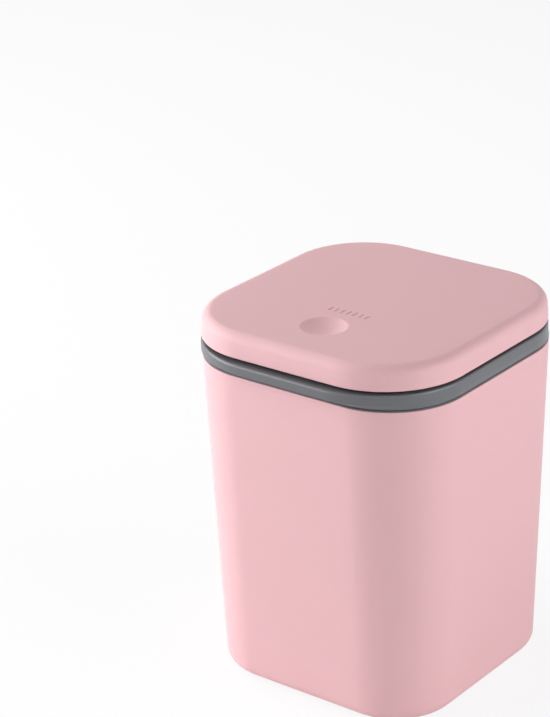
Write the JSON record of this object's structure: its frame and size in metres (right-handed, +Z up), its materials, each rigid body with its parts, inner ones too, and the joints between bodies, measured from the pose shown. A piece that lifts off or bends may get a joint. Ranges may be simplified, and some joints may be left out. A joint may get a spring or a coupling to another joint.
{
  "type": "push-lid waste bin",
  "caption": "Small square waste bin with rounded corners, a lift-off collar and a hinged lid that springs open when its finger dimple is pressed.",
  "frame": {"origin": "on the standing plane, under the middle of the footprint", "axes": "+Z up, the front with the finger dimple towards -Y, the hinge towards +Y, +X to the right seen from the front"},
  "size_m": [0.1258, 0.1306, 0.1672],
  "materials": {
    "body_plastic": "satin moulded polypropylene",
    "lid_plastic": "satin moulded polypropylene",
    "collar_plastic": "semi-gloss moulded plastic",
    "catch_plastic": "moulded plastic",
    "slider_plastic": "natural acetal",
    "steel": "zinc plated",
    "spring_steel": "drawn spring wire"
  },
  "bodies": {
    "bin": {"bin_body": "body_plastic"},
    "collar": {"collar_ring": "collar_plastic", "hinge_pin": "steel", "latch_housing": "catch_plastic", "latch_cover": "catch_plastic", "latch_screws": "steel", "latch_spring": "spring_steel", "latch_follower": "spring_steel", "lid_spring": "spring_steel"},
    "lid": {"lid_cover": "lid_plastic", "lid_striker": "slider_plastic", "striker_screws": "steel"},
    "latch_slider": {"latch_slider": "slider_plastic", "latch_jaw_pins": "steel"},
    "latch_jaw_left": {"latch_jaw_left": "slider_plastic"},
    "latch_jaw_right": {"latch_jaw_right": "slider_plastic"}
  },
  "joints": [
    {"name": "collar_lift", "type": "slide", "parent": "bin", "child": "collar", "axis": [0, 0, 1], "range_m": [0, 0.05]},
    {"name": "lid_open", "type": "hinge", "parent": "collar", "child": "lid", "pos_m": [0, 0.06225, 0.16], "axis": [-1, 0, 0], "range_deg": [-0.6, 95], "stiffness_Nm_per_rad": 0.01731, "springref_deg": 95, "deforming": ["lid_spring", "latch_spring"]},
    {"name": "latch_slide", "type": "slide", "parent": "collar", "child": "latch_slider", "axis": [0, 0, 1], "range_m": [-0.00004, 0.0059]},
    {"name": "jaw_left_turn", "type": "hinge", "parent": "latch_slider", "child": "latch_jaw_left", "pos_m": [-0.005, -0.04925, 0.1343], "axis": [0, -1, 0], "range_deg": [-0.06, 8]},
    {"name": "jaw_right_turn", "type": "hinge", "parent": "latch_slider", "child": "latch_jaw_right", "pos_m": [0.005, -0.04925, 0.1343], "axis": [0, 1, 0], "range_deg": [-0.06, 8]}
  ],
  "couplings": [
    {"joint": "latch_slide", "follows": "lid_open", "m_per_rad": 0.003558},
    {"joint": "jaw_left_turn", "follows": "lid_open", "ratio": 0.0842},
    {"joint": "jaw_right_turn", "follows": "lid_open", "ratio": 0.0842}
  ]
}
